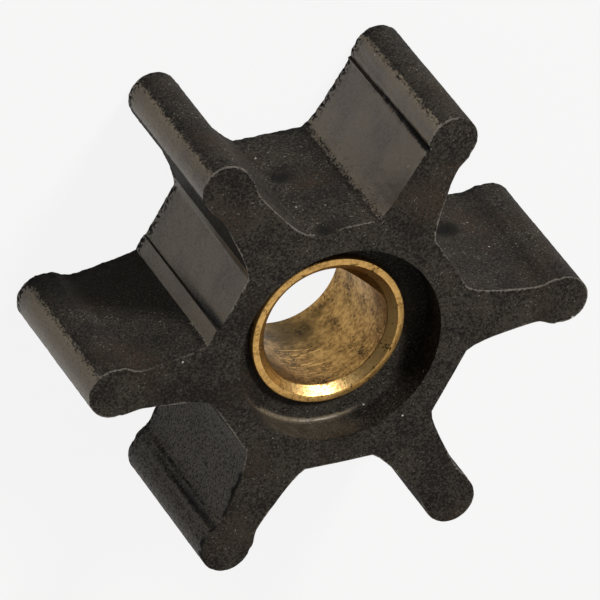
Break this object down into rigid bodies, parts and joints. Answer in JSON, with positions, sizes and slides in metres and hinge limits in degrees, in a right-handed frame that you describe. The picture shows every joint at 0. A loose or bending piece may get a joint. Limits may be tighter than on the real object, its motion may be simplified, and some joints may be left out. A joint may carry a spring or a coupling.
{
  "type": "rubber pump impeller",
  "caption": "Flexible rubber pump impeller with radial bulb-tipped vanes on a six-sided hub, moulded round a turned brass bush with a D-shaped bore.",
  "frame": {"origin": "on the bore's axis, in the plane of the back face", "axes": "+Z along the bore from the back face to the front face with the deeper recess; +X along the middle of the first vane"},
  "size_m": [0.0322, 0.0284, 0.0117],
  "materials": {
    "rubber": "moulded, matt and slightly gritty",
    "brass": "turned, dull and lightly tarnished"
  },
  "bodies": {
    "root": {"rubber_body": "rubber", "brass_bush": "brass"}
  },
  "joints": []
}
